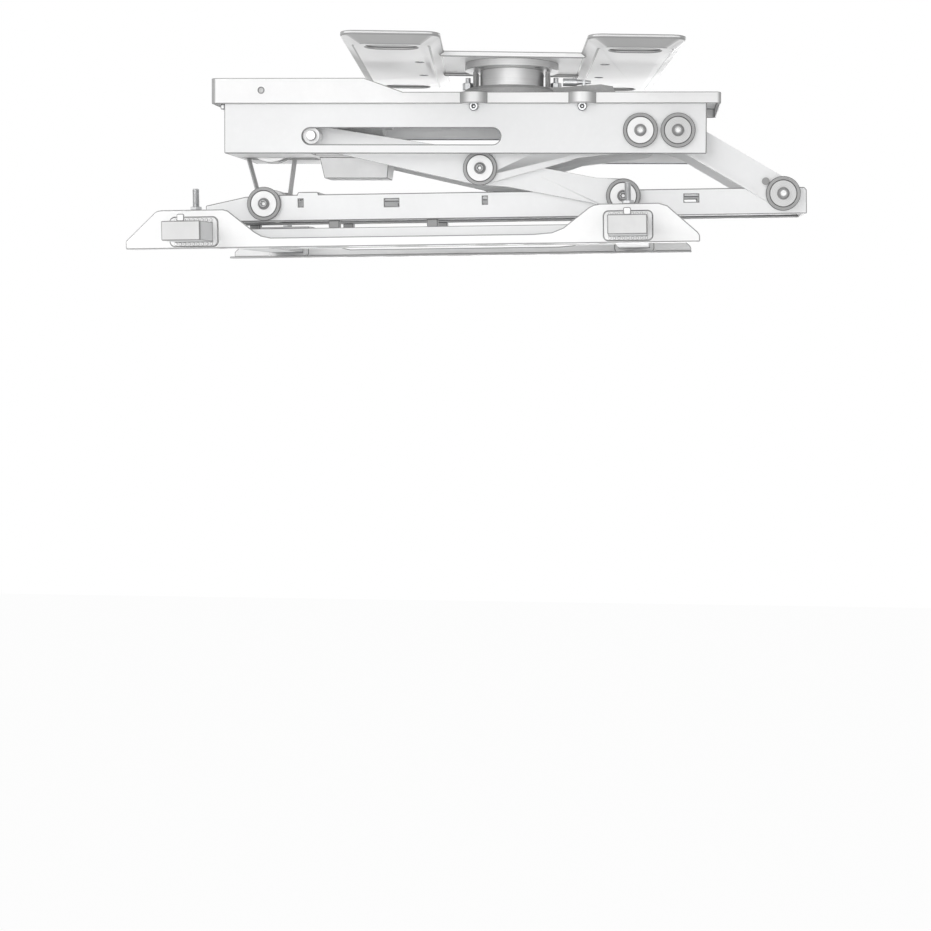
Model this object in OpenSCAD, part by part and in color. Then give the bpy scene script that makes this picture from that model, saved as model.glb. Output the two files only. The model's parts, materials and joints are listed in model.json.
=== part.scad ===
// Motorised flip-down ceiling mount for a television, drawn folded up against the ceiling.
// Origin on the swivel axis in the plane of the ceiling, Z up, X along the folded boom.

/* [Ceiling plate] */
// Length of each wing of the ceiling plate, across the mount
wing_len = 380; // [300:5:460]
// Width of a wing at its rim
wing_w = 105; // [90:1:130]
// Distance between the centre lines of the two wings
wing_pitch = 260; // [240:1:300]
// Angle of the ceiling plate on the swivel, as photographed
plate_turn = 6; // [0:1:20]
// Depth of the pressed dish of a wing
dish_depth = 12.5; // [11:0.5:14]
// How far the sloped wall of a dish runs inwards
dish_run = 12; // [8:1:16]
// Corner radius of a wing
wing_corner = 16; // [14:1:24]
// Sheet thickness of the ceiling plate
plate_t = 3; // [2:0.5:4]
// Width of the web between the wings
web_w = 158; // [130:2:200]
// Depth of the web's downturned edges
web_edge = 6.5; // [5:0.5:9]
// Diameter of the ceiling screw holes
ceiling_hole_d = 9; // [6:0.5:11]
// Distance between the two ceiling screw holes of a wing
ceiling_hole_pitch = 106; // [90:2:170]
// Distance between the ceiling screw holes of the two wings
ceiling_hole_gap = 210; // [205:1:270]
// Length of the large oval opening near each end of a wing
oval_len = 56; // [36:1:60]
// Width of the large oval opening
oval_w = 33; // [16:1:34]

/* [Swivel hub] */
// Outer diameter of the spindle's flange, bolted under the ceiling plate
ring_d = 109; // [96:1:124]
// Thickness of that flange
ring_t = 8.6; // [6:0.2:12]
// Outer diameter of the hollow swivel spindle
spindle_d = 74; // [64:1:80]
// Bore of the spindle, the cable passage
spindle_bore = 40; // [24:1:50]
// Diameter of the disc of the hub base
hub_base_d = 114; // [104:1:124]
// Height of that disc over the top cover
hub_base_h = 11; // [8:0.5:13]
// Reach of the hub base's tongue from the swivel axis
tongue_reach = 124.5; // [110:0.5:140]

/* [Chassis] */
// Length of the chassis channel
chassis_len = 546; // [520:2:600]
// Distance of the channel's left end from the swivel axis
chassis_left = 321; // [316:1:340]
// Outer width of the chassis channel
chassis_w = 141; // [140:1:150]
// Sheet thickness of the channel
chassis_t = 2.5; // [2:0.5:3]
// Depth of the channel's lower edge under the ceiling
chassis_floor = 116; // [114:1:120]
// Length of the top cover
cover_len = 577; // [570:1:640]
// Distance of the cover's left end from the swivel axis
cover_left = 336; // [330:1:350]
// Depth of the cover's main top face under the ceiling
cover_top = 47; // [46:0.5:50]
// How much higher the cover's left part stands
cover_rise = 15.8; // [8:0.2:18]
// Height of the cover's skirt under the main top face
skirt_h = 13; // [11:0.5:16]
// Sheet thickness of the cover
cover_t = 2; // [1.5:0.25:3]
// Radius of the two half round bosses on each skirt
boss_r = 17; // [12:0.5:18]

/* [Linkage] */
// Depth of both fixed pivots under the ceiling
pivot_depth = 90; // [86:0.5:92]
// Distance of the front link's fixed pivot from the swivel axis
front_pivot_x = 151; // [145:0.5:155]
// Distance between the two fixed pivots
pivot_gap = 42; // [41:0.5:46]
// Length of the front link between its pivots
front_link_len = 186; // [180:0.5:192]
// Length of the slider arm from its slot pin to the front link
arm_front = 195; // [192:0.5:200]
// Length of the slider arm from the front link to the boom
arm_rear = 165; // [160:0.5:170]
// Distance on the boom between the slider arm and the rear link
boom_rear = 180; // [176:0.5:184]
// Length of the rear link between its pivots
rear_link_len = 137.5; // [135:0.5:140]
// Distance on the boom between the slider arm and the strap pulley
boom_front = 412; // [400:1:424]
// Angle of the front link below the horizontal when folded
fold_angle = 12.95; // [12:0.05:14]
// Depth of the slot's centre line under the ceiling
slot_depth = 96.5; // [96:0.25:98]
// Height of the slot in the channel's walls
slot_h = 18.4; // [17:0.2:20]
// Diameter of the slot pin
slot_pin_d = 11; // [8:0.5:11]
// Diameter of the pivot pins
pin_d = 16; // [12:0.5:18]
// Radial clearance of a pin in its bore
pin_fit = 0.05; // [0.03:0.01:0.1]
// Thickness of the front link and the slider arm
link_t = 4; // [3:0.5:5]
// Radius of the links' eyes
eye_r = 19; // [17.5:0.25:20]
// Width of the rear link
rear_link_w = 33; // [28:1:36]
// Outer diameter of the pivot collars
collar_d = 38.8; // [35:0.2:40]
// Thickness of a pivot collar
collar_t = 3.5; // [3:0.1:4]
// Diameter of the white washer in a collar
washer_d = 29.6; // [24:0.2:31]
// Head diameter of the pivot screws
pivot_head_d = 14; // [12:0.2:16]

/* [Boom] */
// Outer width of the boom channel
boom_w = 100; // [96:1:100]
// Height of the boom channel
boom_h = 30; // [28:0.5:32]
// Sheet thickness of the boom
boom_t = 2.5; // [2:0.5:3]
// How far the boom's top face lies over its pivots
boom_top = 7.5; // [6:0.25:9]
// How far the boom runs past the strap pulley
boom_nose = 68.5; // [50:0.5:80]
// How far the boom runs past the rear link's pivot
boom_tail = 27; // [24:1:34]
// How far the strap pulley's axle lies under the line of the other pivots
pulley_drop = 2.5; // [0:0.25:4]

/* [Lifting strap] */
// Width of the strap
strap_w = 16; // [12:1:26]
// Thickness of the strap
strap_t = 1.6; // [1.2:0.1:2.4]
// Radius of the strap pulley's groove
pulley_r = 15; // [14:0.25:16]
// Distance of the winch drum from the swivel axis
drum_x = 283; // [280:0.5:285]
// Outer radius of the strap wound on the drum
roll_r = 29; // [24:0.5:29]

/* [Control box] */
// Length of the control box at its top
box_len = 81; // [70:1:90]
// Height of the control box
box_h = 24; // [18:0.5:26]
// Width of the control box
box_w = 44; // [36:1:86]
// Distance of the box's left end from the swivel axis
box_left = 222; // [215:0.5:224]

/* [Television frame] */
// Length of the cross rails
rail_len = 512; // [470:2:560]
// Width of a cross rail
rail_w = 40; // [36:1:44]
// Height of a cross rail
rail_h = 20; // [18:0.5:22]
// Wall of the cross rails
rail_t = 2; // [1.5:0.25:3]
// Distance between the two cross rails
rail_pitch = 454; // [440:1:470]
// Distance of the rear cross rail past the slider arm's pivot
rail_past = 8; // [4:0.5:10]
// Height of the spacers between boom and frame
spacer_h = 8.6; // [7:0.2:12]
// Distance between the television's mounting holes, both ways
tv_pitch = 400; // [390:1:410]
// Diameter of the television's mounting holes
tv_hole_d = 8.5; // [6.5:0.5:9]

/* [Television bracket] */
// Length of a bracket
bracket_len = 601; // [590:1:640]
// Overhang of the bracket past the front cross rail's centre line
bracket_over = 73; // [70:0.5:78]
// Height of a bracket at its humps
hump_h = 40.5; // [39:0.5:44]
// Height of a bracket between its humps
bracket_waist = 10.3; // [9.5:0.1:12]
// Sheet thickness of a bracket
bracket_t = 2.5; // [2:0.5:3]
// Width of a bracket's flange that lies against the television
flange_w = 26; // [22:1:30]
// Distance of the mounting holes from the bracket's outer face
hole_inset = 12; // [10:0.5:13]
// Height of the rail's lower face over the bracket's face
rail_lift = 6.9; // [6.5:0.1:8]

/* [Hidden] */
$fn = 64;

eps = 0.01;
seat = 0.3;
hull_fn = 32;

// Fixed points of the linkage in the X and Z plane
pivot_a = [front_pivot_x, -pivot_depth];
pivot_r = [front_pivot_x + pivot_gap, -pivot_depth];
slot_z = -slot_depth;
pin_z = slot_z + 1;
// Front link and slider arm folded: the slot pin stays at its own height
pivot_b = pivot_a - front_link_len * [cos(fold_angle), sin(fold_angle)];
arm_angle = asin((pin_z - pivot_b[1]) / arm_front);
pivot_s = [pivot_b[0] - arm_front * cos(arm_angle), pin_z];
pivot_c = pivot_b + arm_rear * [cos(arm_angle), -sin(arm_angle)];
// Boom and rear link folded: where the two circles round their pivots cross
c_to_r = pivot_r - pivot_c;
c_gap = norm(c_to_r);
c_foot = (boom_rear * boom_rear - rear_link_len * rear_link_len + c_gap * c_gap) / (2 * c_gap);
c_side = sqrt(boom_rear * boom_rear - c_foot * c_foot);
c_dir = c_to_r / c_gap;
pivot_d = pivot_c + c_foot * c_dir + c_side * [c_dir[1], -c_dir[0]];
boom_angle = atan2(pivot_d[1] - pivot_c[1], pivot_d[0] - pivot_c[0]);
function on_boom(u, v) =
    pivot_c + [u * cos(boom_angle) - v * sin(boom_angle), u * sin(boom_angle) + v * cos(boom_angle)];
pivot_e = on_boom(-boom_front, -pulley_drop);

// Layers across the mount, as distances from its middle plane
boom_side = boom_w / 2;
arm_in = boom_side + 0.5;
arm_out = arm_in + link_t;
front_in = arm_out + 0.5;
front_out = front_in + link_t;
wall_out = chassis_w / 2;
wall_in = wall_out - chassis_t;
skirt_in = wall_out + seat;
skirt_out = skirt_in + cover_t;
washer_sink = 1.5;
head_h = 3.3;

// Heights in the middle of the mount
web_top = -3;
ring_top = web_top - plate_t;
ring_bottom = ring_top - ring_t;
cover_under = -cover_top - cover_t;
chassis_right = chassis_len - chassis_left;
chassis_roof = cover_under - chassis_t;
floor_z = -chassis_floor;
floor_top = floor_z + chassis_t;

// Television frame in the boom's own axes
boom_under = boom_top - boom_h;
rail_top = boom_under - spacer_h;
rail_under = rail_top - rail_h;
rail_us = [rail_past - rail_pitch, rail_past];
tv_face = rail_under - rail_lift;
bracket_left = rail_us[0] - bracket_over;
frame_mid = (rail_us[0] + rail_us[1]) / 2;
bracket_y = tv_pitch / 2 + hole_inset;
clamp_wall = 5;

// Children drawn in the X and Z plane, as a sheet from y0 to y0 + t
module sheet_y(y0, t) {
    translate([0, y0 + t, 0]) rotate([90, 0, 0]) linear_extrude(t) children();
}

// The same sheet on both sides of the middle plane
module sheet_pair(inner, outer) {
    sheet_y(inner, outer - inner) children();
    sheet_y(-outer, outer - inner) children();
}

// A round bar across the mount at p, from y0 to y1
module bar_y(p, r, y0, y1) {
    translate([p[0], y0, p[1]]) rotate([-90, 0, 0]) cylinder(r = r, h = y1 - y0);
}

module bar_pair(p, r, inner, outer) {
    bar_y(p, r, inner, outer);
    bar_y(p, r, -outer, -inner);
}

// A ring on each side of the mount
module ring_pair(p, r, bore_r, inner, outer) {
    difference() {
        bar_pair(p, r, inner, outer);
        bar_pair(p, bore_r, inner - eps, outer + eps);
    }
}

// A plain block with round vertical corners, centred in Y
module rounded_block(x0, x1, w, r, z0, z1) {
    translate([x0 + r, -w / 2, z0]) cube([x1 - x0 - 2 * r, w, z1 - z0]);
    translate([x0, r - w / 2, z0]) cube([x1 - x0, w - 2 * r, z1 - z0]);
    for (x = [x0 + r, x1 - r])
        for (y = [r - w / 2, w / 2 - r])
            translate([x, y, z0]) cylinder(r = r, h = z1 - z0);
}

// Moves children from the boom's own axes to the folded boom
module in_boom() {
    translate([pivot_c[0], 0, pivot_c[1]]) rotate([0, -boom_angle, 0]) children();
}

// Outline of a link between two round eyes, tangent to both
module tapered_link(p, rp, q, rq) {
    d = q - p;
    len = norm(d);
    turn = atan2(d[1], d[0]);
    lean = acos((rp - rq) / len);
    up = [cos(turn + lean), sin(turn + lean)];
    down = [cos(turn - lean), sin(turn - lean)];
    translate(p) circle(r = rp);
    translate(q) circle(r = rq);
    polygon([p + rp * up, p + rp * down, q + rq * down, q + rq * up]);
}

// Collar of a pivot, with the recess that takes its washer
module collars(p, face) {
    difference() {
        bar_pair(p, collar_d / 2, face, face + collar_t);
        bar_pair(p, washer_d / 2 + seat, face + collar_t - washer_sink, face + collar_t + 1);
        bar_pair(p, pin_d / 2 + pin_fit, face - eps, face + collar_t);
    }
}

module washers(p, face) {
    sit = face + collar_t - washer_sink;
    ring_pair(p, washer_d / 2, pivot_head_d / 4 + 0.2, sit, sit + washer_sink);
}

// Low button head screws with a hexagon socket, threaded into the pin's end
module pivot_screws(p, face) {
    top = face + collar_t;
    difference() {
        union() {
            for (side = [0, 1])
                mirror([0, side, 0]) translate([p[0], top, p[1]]) rotate([-90, 0, 0])
                    cylinder(r1 = pivot_head_d / 2, r2 = pivot_head_d / 2 - 2, h = head_h);
            bar_pair(p, pivot_head_d / 4, top - 9, top + eps);
        }
        for (side = [0, 1])
            mirror([0, side, 0]) translate([p[0], top + 1, p[1]]) rotate([-90, 0, 0])
                cylinder(r = pivot_head_d * 0.19, h = head_h, $fn = 6);
    }
}

// Stub pins from y0 out to the washer, drilled for the screw
module stub_pins(p, inner, face) {
    tip = face + collar_t - washer_sink;
    difference() {
        bar_pair(p, pin_d / 2, inner, tip);
        bar_pair(p, pivot_head_d / 4 + pin_fit, tip - 10, tip + eps);
    }
}

// A through axle between both sides, drilled at its ends for the screws
module axle(p, face) {
    tip = face + collar_t - washer_sink;
    difference() {
        bar_y(p, pin_d / 2, -tip, tip);
        bar_pair(p, pivot_head_d / 4 + pin_fit, tip - 10, tip + eps);
    }
}

// One wing's dish as a solid: rim, straight lip and sloped wall down to a smaller floor
module dish_form(cx, cut, top, floor_at) {
    lip = -4;
    x_in = wing_w / 2 - wing_corner;
    y_in = wing_len / 2 - wing_corner;
    r_rim = wing_corner - cut;
    hull() {
        for (x = [-1, 1])
            for (y = [-1, 1]) {
                translate([cx + x * x_in, y * y_in, lip])
                    cylinder(r = r_rim, h = top - lip, $fn = hull_fn);
                translate([cx + x * (x_in - dish_run), y * (y_in - dish_run), floor_at])
                    cylinder(r = r_rim, h = eps, $fn = hull_fn);
            }
    }
}

module web() {
    x1 = wing_pitch / 2 - wing_w / 2 + 4;
    translate([-x1, -web_w / 2, ring_top]) cube([2 * x1, web_w, plate_t]);
    for (y = [-web_w / 2, web_w / 2 - plate_t])
        translate([-x1, y, web_top - web_edge]) cube([2 * x1, plate_t, web_edge]);
}

module ceiling_plate() {
    wings = [-wing_pitch / 2, wing_pitch / 2];
    color("whitesmoke") difference() {
        rotate([0, 0, plate_turn]) difference() {
            union() {
                web();
                for (x = wings)
                    dish_form(x, 0, 0, -dish_depth);
            }
            for (x = wings)
                dish_form(x, plate_t, 1, plate_t - dish_depth);
            for (x = [-1, 1])
                for (y = [-1, 1]) {
                    translate([x * ceiling_hole_gap / 2, y * ceiling_hole_pitch / 2, -dish_depth - 1])
                        cylinder(d = ceiling_hole_d, h = plate_t + 2);
                    translate([x * wing_pitch / 2, y * (wing_len / 2 - oval_w), -dish_depth - 1])
                        oval_hole();
                }
        }
        translate([0, 0, ring_top - 1]) cylinder(d = spindle_bore, h = plate_t + 2);
        ring_bolt_holes(ring_top - 1, web_top + 1);
    }
}

module oval_hole() {
    translate([(oval_w - oval_len) / 2, -oval_w / 2, 0]) cube([oval_len - oval_w, oval_w, plate_t + 2]);
    for (x = [-1, 1])
        translate([x * (oval_len - oval_w) / 2, 0, 0]) cylinder(d = oval_w, h = plate_t + 2);
}

ring_bolt_r = (ring_d + spindle_d) / 4;
module ring_bolt_holes(z0, z1) {
    for (a = [45:90:315])
        rotate([0, 0, a]) translate([ring_bolt_r, 0, z0]) cylinder(d = 6.1, h = z1 - z0);
}

module ring_bolts() {
    color("dimgray") for (a = [45:90:315])
        rotate([0, 0, a]) translate([ring_bolt_r, 0, 0]) {
            translate([0, 0, ring_bottom]) cylinder(d = 6, h = web_top - ring_bottom);
            translate([0, 0, web_top]) cylinder(d = 10, h = 2.4);
        }
}

spindle_under = chassis_roof - 9;
groove_z = chassis_roof - 5;
module swivel_spindle() {
    color("silver") difference() {
        union() {
            translate([0, 0, spindle_under]) cylinder(d = spindle_d, h = ring_top - spindle_under);
            translate([0, 0, ring_bottom]) cylinder(d = ring_d, h = ring_t);
        }
        ring_bolt_holes(ring_bottom - 1, ring_top + 1);
        translate([0, 0, spindle_under - 1]) cylinder(d = spindle_bore, h = ring_top - spindle_under + 2);
        translate([0, 0, groove_z]) difference() {
            cylinder(d = spindle_d + 2, h = 3.2);
            translate([0, 0, -1]) cylinder(d = spindle_d - 6, h = 6);
        }
    }
}

module spindle_clip() {
    color("dimgray") translate([0, 0, groove_z + 0.1]) difference() {
        cylinder(d = spindle_d + 12, h = 3);
        translate([0, 0, -1]) cylinder(d = spindle_d - 5.6, h = 5);
        translate([0, -4, -1]) cube([spindle_d, 8, 5]);
    }
}

ear_gap = 3;
ear_top = ring_bottom - 1.6;
hub_bolt_x = spindle_d / 2 + 14.5;
module hub_base() {
    z0 = -cover_top;
    z1 = z0 + hub_base_h;
    color("#3a3d40") difference() {
        union() {
            translate([0, 0, z0]) cylinder(d = hub_base_d, h = hub_base_h - 4);
            translate([0, 0, z1 - 4]) cylinder(d1 = hub_base_d, d2 = hub_base_d - 10, h = 4);
            sheet_y(-27, 54) polygon([
                [0, z0], [tongue_reach, z0], [tongue_reach - 6, z1 + 1], [tongue_reach - 20, z1 + 3.3],
                [hub_base_d / 2, z1], [0, z1]
            ]);
            for (s = [-1, 1])
                translate([s * (spindle_d / 2 + ear_gap + 2) - 2, -15, z0]) cube([4, 30, ear_top - z0]);
        }
        translate([0, 0, z0 - 1]) cylinder(d = spindle_d + 0.1, h = 60);
        for (s = [-1, 1])
            translate([s * hub_bolt_x, 0, z0 - 1]) cylinder(d = 8.1, h = 60);
        lock_screw_hole(pin_fit);
    }
}

lock_z = -cover_top + hub_base_h + 6.6;
lock_y = -20;
module lock_screw_hole(gap) {
    translate([hub_base_d / 2 + 28, lock_y, lock_z - 9.5]) cylinder(r = 2.5 + gap, h = 9.5 + 1);
}

module swivel_lock_screw() {
    color("whitesmoke") {
        translate([hub_base_d / 2 + 28, lock_y, lock_z - 9.5]) cylinder(r = 2.5, h = 9.5 + 2);
        translate([hub_base_d / 2 + 4, lock_y, lock_z]) rotate([0, 90, 0]) cylinder(r = 4.4, h = 16);
        translate([hub_base_d / 2 + 20, lock_y, lock_z]) rotate([0, 90, 0])
            cylinder(r1 = 3.2, r2 = 1.6, h = 16);
    }
}

module hub_bolts() {
    z0 = chassis_roof - 5;
    z1 = -cover_top + hub_base_h;
    color("gainsboro") for (s = [-1, 1])
        translate([s * hub_bolt_x, 0, 0]) {
            translate([0, 0, z0]) cylinder(d = 8, h = z1 - z0);
            translate([0, 0, z1]) cylinder(d = 13, h = 8, $fn = 6);
            translate([0, 0, z1 + 8]) cylinder(d = 6, h = 6);
        }
}

// Side profile of the cover between its left and right end, grown inwards by cut
module cover_profile(cut) {
    x0 = cut - cover_left;
    x1 = cover_len - cover_left - cut;
    lower = -cover_top - cut;
    upper = lower + cover_rise;
    skirt = -cover_top - skirt_h - (cut > 0 ? 1 : 0);
    polygon([[x0, skirt], [x0, upper], [-161, upper], [-116.6, lower], [x1, lower], [x1, skirt]]);
}

boss_xs = [-36.3, 85.8];
module top_cover() {
    z0 = -cover_top - skirt_h;
    color("whitesmoke") difference() {
        union() {
            intersection() {
                sheet_y(-skirt_out, 2 * skirt_out) cover_profile(0);
                rounded_block(-cover_left, cover_len - cover_left, 2 * skirt_out, 6, z0 - 1, 0);
            }
            for (x = boss_xs)
                for (s = [-1, 1])
                    translate([x, s * (skirt_out - boss_r / 2), z0])
                        cylinder(r = boss_r, h = skirt_h);
        }
        intersection() {
            sheet_y(-skirt_in, 2 * skirt_in) cover_profile(cover_t);
            rounded_block(cover_t - cover_left, cover_len - cover_left - cover_t, 2 * skirt_in, 4, z0 - 2, 0);
        }
        translate([0, 0, -cover_top - cover_t - 1]) cylinder(d = spindle_d + 2, h = cover_t + 2);
        for (s = [-1, 1])
            translate([s * hub_bolt_x, 0, -cover_top - cover_t - 1]) cylinder(d = 8.4, h = cover_t + 2);
        bar_y([-278, -45], 3.2, -skirt_out - 1, skirt_out + 1);
        for (x = boss_xs)
            bar_pair([x, screw_z], 5.6, wall_out - 1, wall_out + 4.4);
    }
}

// Screws that hold the cover's bosses and the channel walls together
screw_z = -cover_top - skirt_h - 3.2;
module cover_screws() {
    color("gray") for (x = boss_xs)
        difference() {
            union() {
                bar_pair([x, screw_z], 5.2, wall_out, wall_out + 4);
                bar_pair([x, screw_z], 3, wall_in - 6, wall_out + eps);
            }
            for (side = [0, 1])
                mirror([0, side, 0]) translate([x, wall_out + 1.6, screw_z]) rotate([-90, 0, 0])
                    cylinder(r = 2, h = 4, $fn = 6);
        }
}

// Round ended slot outline along X
module slot_outline(x0, x1, z, h) {
    translate([x0 + h / 2, z]) circle(d = h);
    translate([x1 - h / 2, z]) circle(d = h);
    translate([x0 + h / 2, z - h / 2]) square([x1 - x0 - h, h]);
}

slot_left = pivot_s[0] - slot_h / 2 - 0.5;
slot_right = slot_left + 225.4;
module channel_wall() {
    difference() {
        translate([-chassis_left, floor_z]) square([chassis_len, chassis_roof + chassis_t - floor_z]);
        slot_outline(slot_left, slot_right, slot_z, slot_h);
        for (p = [pivot_a, pivot_r])
            translate(p) circle(r = pin_d / 2 + pin_fit);
        for (x = boss_xs)
            translate([x, screw_z]) circle(r = 3.05);
    }
}

module chassis_channel() {
    roof = chassis_roof + chassis_t;
    color("gainsboro") difference() {
        union() {
            sheet_pair(wall_in, wall_out) channel_wall();
            translate([-chassis_left, -wall_out, chassis_roof]) cube([chassis_len, chassis_w, chassis_t]);
            translate([-chassis_left, -wall_out, floor_z]) cube([chassis_t, chassis_w, roof - floor_z]);
            for (s = [-1, 1])
                translate([-chassis_left - 5, s * (wall_in - 6) - 6, roof - skirt_h - 4])
                    cube([5 + eps, 12, 6]);
        }
        translate([0, 0, chassis_roof - 1]) cylinder(d = spindle_d + 2, h = chassis_t + 2);
        for (s = [-1, 1])
            translate([s * hub_bolt_x, 0, chassis_roof - 1]) cylinder(d = 8.4, h = chassis_t + 2);
    }
}

hatch_x0 = -drum_x - 32.5;
hatch_len = 87;
hatch_w = strap_w + 14;
tail_right = box_len - box_left + 4;
module bottom_plate() {
    x0 = chassis_t - chassis_left;
    x1 = -box_left;
    color("whitesmoke") difference() {
        union() {
            translate([x0, -wall_in, floor_z]) cube([x1 - x0, 2 * wall_in, chassis_t]);
            translate([x0, 3 - boom_side, floor_z]) cube([tail_right - x0, 2 * boom_side - 6, chassis_t]);
        }
        translate([hatch_x0, -hatch_w / 2, floor_z - 1]) cube([hatch_len, hatch_w, chassis_t + 2]);
    }
}

module control_box() {
    x0 = -box_left;
    draft = 4.5;
    color("darkgray") difference() {
        hull() {
            translate([x0, -box_w / 2, floor_z - 1]) cube([box_len, box_w, 1]);
            translate([x0 + draft, draft - box_w / 2, floor_z - box_h])
                cube([box_len - draft - 2.5, box_w - 2 * draft, 1]);
        }
        translate([x0 + 20, box_w / 2 - 5, floor_z - box_h + 6]) cube([14, 8, 8]);
    }
}

motor_y = 27;
motor_z = chassis_roof - 19;
motor_x0 = -drum_x + roll_r + 3.5;
motor_len = 96;
motor_d = 32;
gear_half = 24;
module winch_motor() {
    color("dimgray") {
        translate([motor_x0, motor_y, motor_z]) rotate([0, 90, 0]) cylinder(d = motor_d, h = motor_len);
        translate([motor_x0 + motor_len, motor_y, motor_z]) rotate([0, 90, 0]) cylinder(r = 9, h = 10);
    }
}

module winch_gearbox() {
    y0 = 31;
    color("gray") difference() {
        union() {
            translate([-drum_x - gear_half, y0, -pivot_depth - 20]) cube([2 * gear_half, 20, 55]);
            translate([-drum_x - gear_half, y0 + 20, -pivot_depth - 14])
                cube([2 * gear_half, wall_in - y0 - 20, 28]);
            translate([gear_half - drum_x - eps, y0, motor_z - 14])
                cube([motor_x0 + drum_x - gear_half + eps, 12, 28]);
        }
        bar_y([-drum_x, -pivot_depth], 8.05, y0 - 1, wall_in + 1);
    }
}

module drum_bearings() {
    p = [-drum_x, -pivot_depth];
    color("dimgray") difference() {
        union() {
            bar_y(p, 14, -wall_in, -wall_in + 12);
            bar_y(p, 9, -wall_in + 12 - eps, -wall_in + 18);
        }
        bar_y(p, 5.05, -wall_in + 1, wall_in);
    }
}

module winch_drum() {
    p = [-drum_x, -pivot_depth];
    side = strap_w / 2 + 0.5;
    color("silver") {
        bar_y(p, 10, -side, side);
        bar_y(p, roll_r + 2, side, side + 2.5);
        bar_y(p, roll_r + 2, -side - 2.5, -side);
        bar_y(p, 7.95, side + 2.5 - eps, wall_in - 1);
        bar_y(p, 4.95, -wall_in + 1.5, side);
    }
}

module wound_strap() {
    p = [-drum_x, -pivot_depth];
    side = strap_w / 2;
    color("#44484c") difference() {
        bar_y(p, roll_r, -side, side);
        bar_y(p, 10, -side - 1, side + 1);
    }
}

anchor_p = [-drum_x - roll_r, floor_top + 3.2];
module strap_anchor_pin() {
    color("gray") bar_y(anchor_p, 3, -wall_in, wall_in);
}

// A flat strand of the strap between two points of the X and Z plane
module strand(p, q) {
    d = (q - p) / norm(q - p);
    n = [-d[1], d[0]] * strap_t / 2;
    sheet_y(-strap_w / 2, strap_w) polygon([p + n, p - n, q - n, q + n]);
}

strap_mid_r = pulley_r + seat + strap_t / 2;
strand_gap = 0.7;
module strap_strands() {
    roll_p = [-drum_x + roll_r + seat + strap_t / 2, -pivot_depth];
    color("#44484c") {
        strand(roll_p, pivot_e + [strap_mid_r, strand_gap]);
        strand(anchor_p - [0, 3 + seat], pivot_e + [-strap_mid_r, strand_gap]);
    }
}

module strap_bight() {
    r = strap_mid_r + strap_t / 2;
    color("#44484c") intersection() {
        difference() {
            bar_y(pivot_e, r, -strap_w / 2, strap_w / 2);
            bar_y(pivot_e, r - strap_t, -strap_w, strap_w);
        }
        translate([pivot_e[0] - r, -strap_w, pivot_e[1] - r - 1]) cube([2 * r, 2 * strap_w, r + 1]);
    }
}

module strap_pulley() {
    side = strap_w / 2 + 0.5;
    color("gainsboro") difference() {
        union() {
            bar_y(pivot_e, pulley_r, -side, side);
            bar_pair(pivot_e, pulley_r + strap_t + 2, side, side + 2.5);
        }
        bar_y(pivot_e, pin_d / 2 + pin_fit, -side - 4, side + 4);
    }
}

pulley_face = boom_side + 0.2;
module pulley_bushes() {
    color("dimgray") {
        ring_pair(pivot_e, pin_d / 2 + 4, pin_d / 2 + pin_fit, strap_w / 2 + 3.3, boom_side - boom_t - 0.2);
        collars(pivot_e, pulley_face);
    }
}

module pulley_washers() {
    color("whitesmoke") washers(pivot_e, pulley_face);
}

// The pulley's axle, headed with a hexagon socket at both ends
module pulley_axle() {
    top = pulley_face + collar_t;
    tip = top - washer_sink;
    color("silver") difference() {
        union() {
            bar_y(pivot_e, pin_d / 2, -tip, tip);
            bar_y(pivot_e, pivot_head_d / 4, -top - eps, top + eps);
            for (side = [0, 1])
                mirror([0, side, 0]) translate([pivot_e[0], top, pivot_e[1]]) rotate([-90, 0, 0])
                    cylinder(r1 = pivot_head_d / 2, r2 = pivot_head_d / 2 - 2, h = head_h);
        }
        for (side = [0, 1])
            mirror([0, side, 0]) translate([pivot_e[0], top + 1, pivot_e[1]]) rotate([-90, 0, 0])
                cylinder(r = pivot_head_d * 0.19, h = head_h, $fn = 6);
    }
}

// Front link: a cranked bar from the fixed pivot to the slider arm
module front_link_outline() {
    knee = (pivot_a + pivot_b) / 2;
    along = (pivot_a - pivot_b) / norm(pivot_a - pivot_b);
    across = [-along[1], along[0]];
    hip = eye_r + 1.5;
    difference() {
        union() {
            translate(pivot_a) circle(r = hip);
            translate(pivot_b) circle(r = eye_r);
            polygon([
                pivot_b + eye_r * across, knee - 24 * along + 16 * across, knee - 2 * along + 9.5 * across,
                knee + 11 * along + 14.5 * across, pivot_a + hip * across - 12 * along,
                pivot_a + hip * across, pivot_a - hip * across, knee + 17 * along - 13 * across,
                knee + 2 * along - 14.5 * across, pivot_b - eye_r * across
            ]);
        }
        for (p = [pivot_a, pivot_b])
            translate(p) circle(r = pin_d / 2 + pin_fit);
    }
}

module front_link_near() {
    color("gainsboro") sheet_y(-front_out, link_t) front_link_outline();
}

module front_link_far() {
    color("gainsboro") sheet_y(front_in, link_t) front_link_outline();
}

// Stub pins of the front link at the slider arm, headed on their inner ends
module front_link_pins() {
    color("silver") {
        stub_pins(pivot_b, arm_in - 0.2 - eps, front_out + 0.2);
        bar_pair(pivot_b, pin_d / 2 + 3, arm_in - 3.2, arm_in - 0.2);
    }
}

module front_link_collars() {
    color("dimgray") collars(pivot_b, front_out + 0.2);
}

module front_link_washers() {
    color("whitesmoke") washers(pivot_b, front_out + 0.2);
}

module front_link_screws() {
    color("gray") pivot_screws(pivot_b, front_out + 0.2);
}

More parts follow.
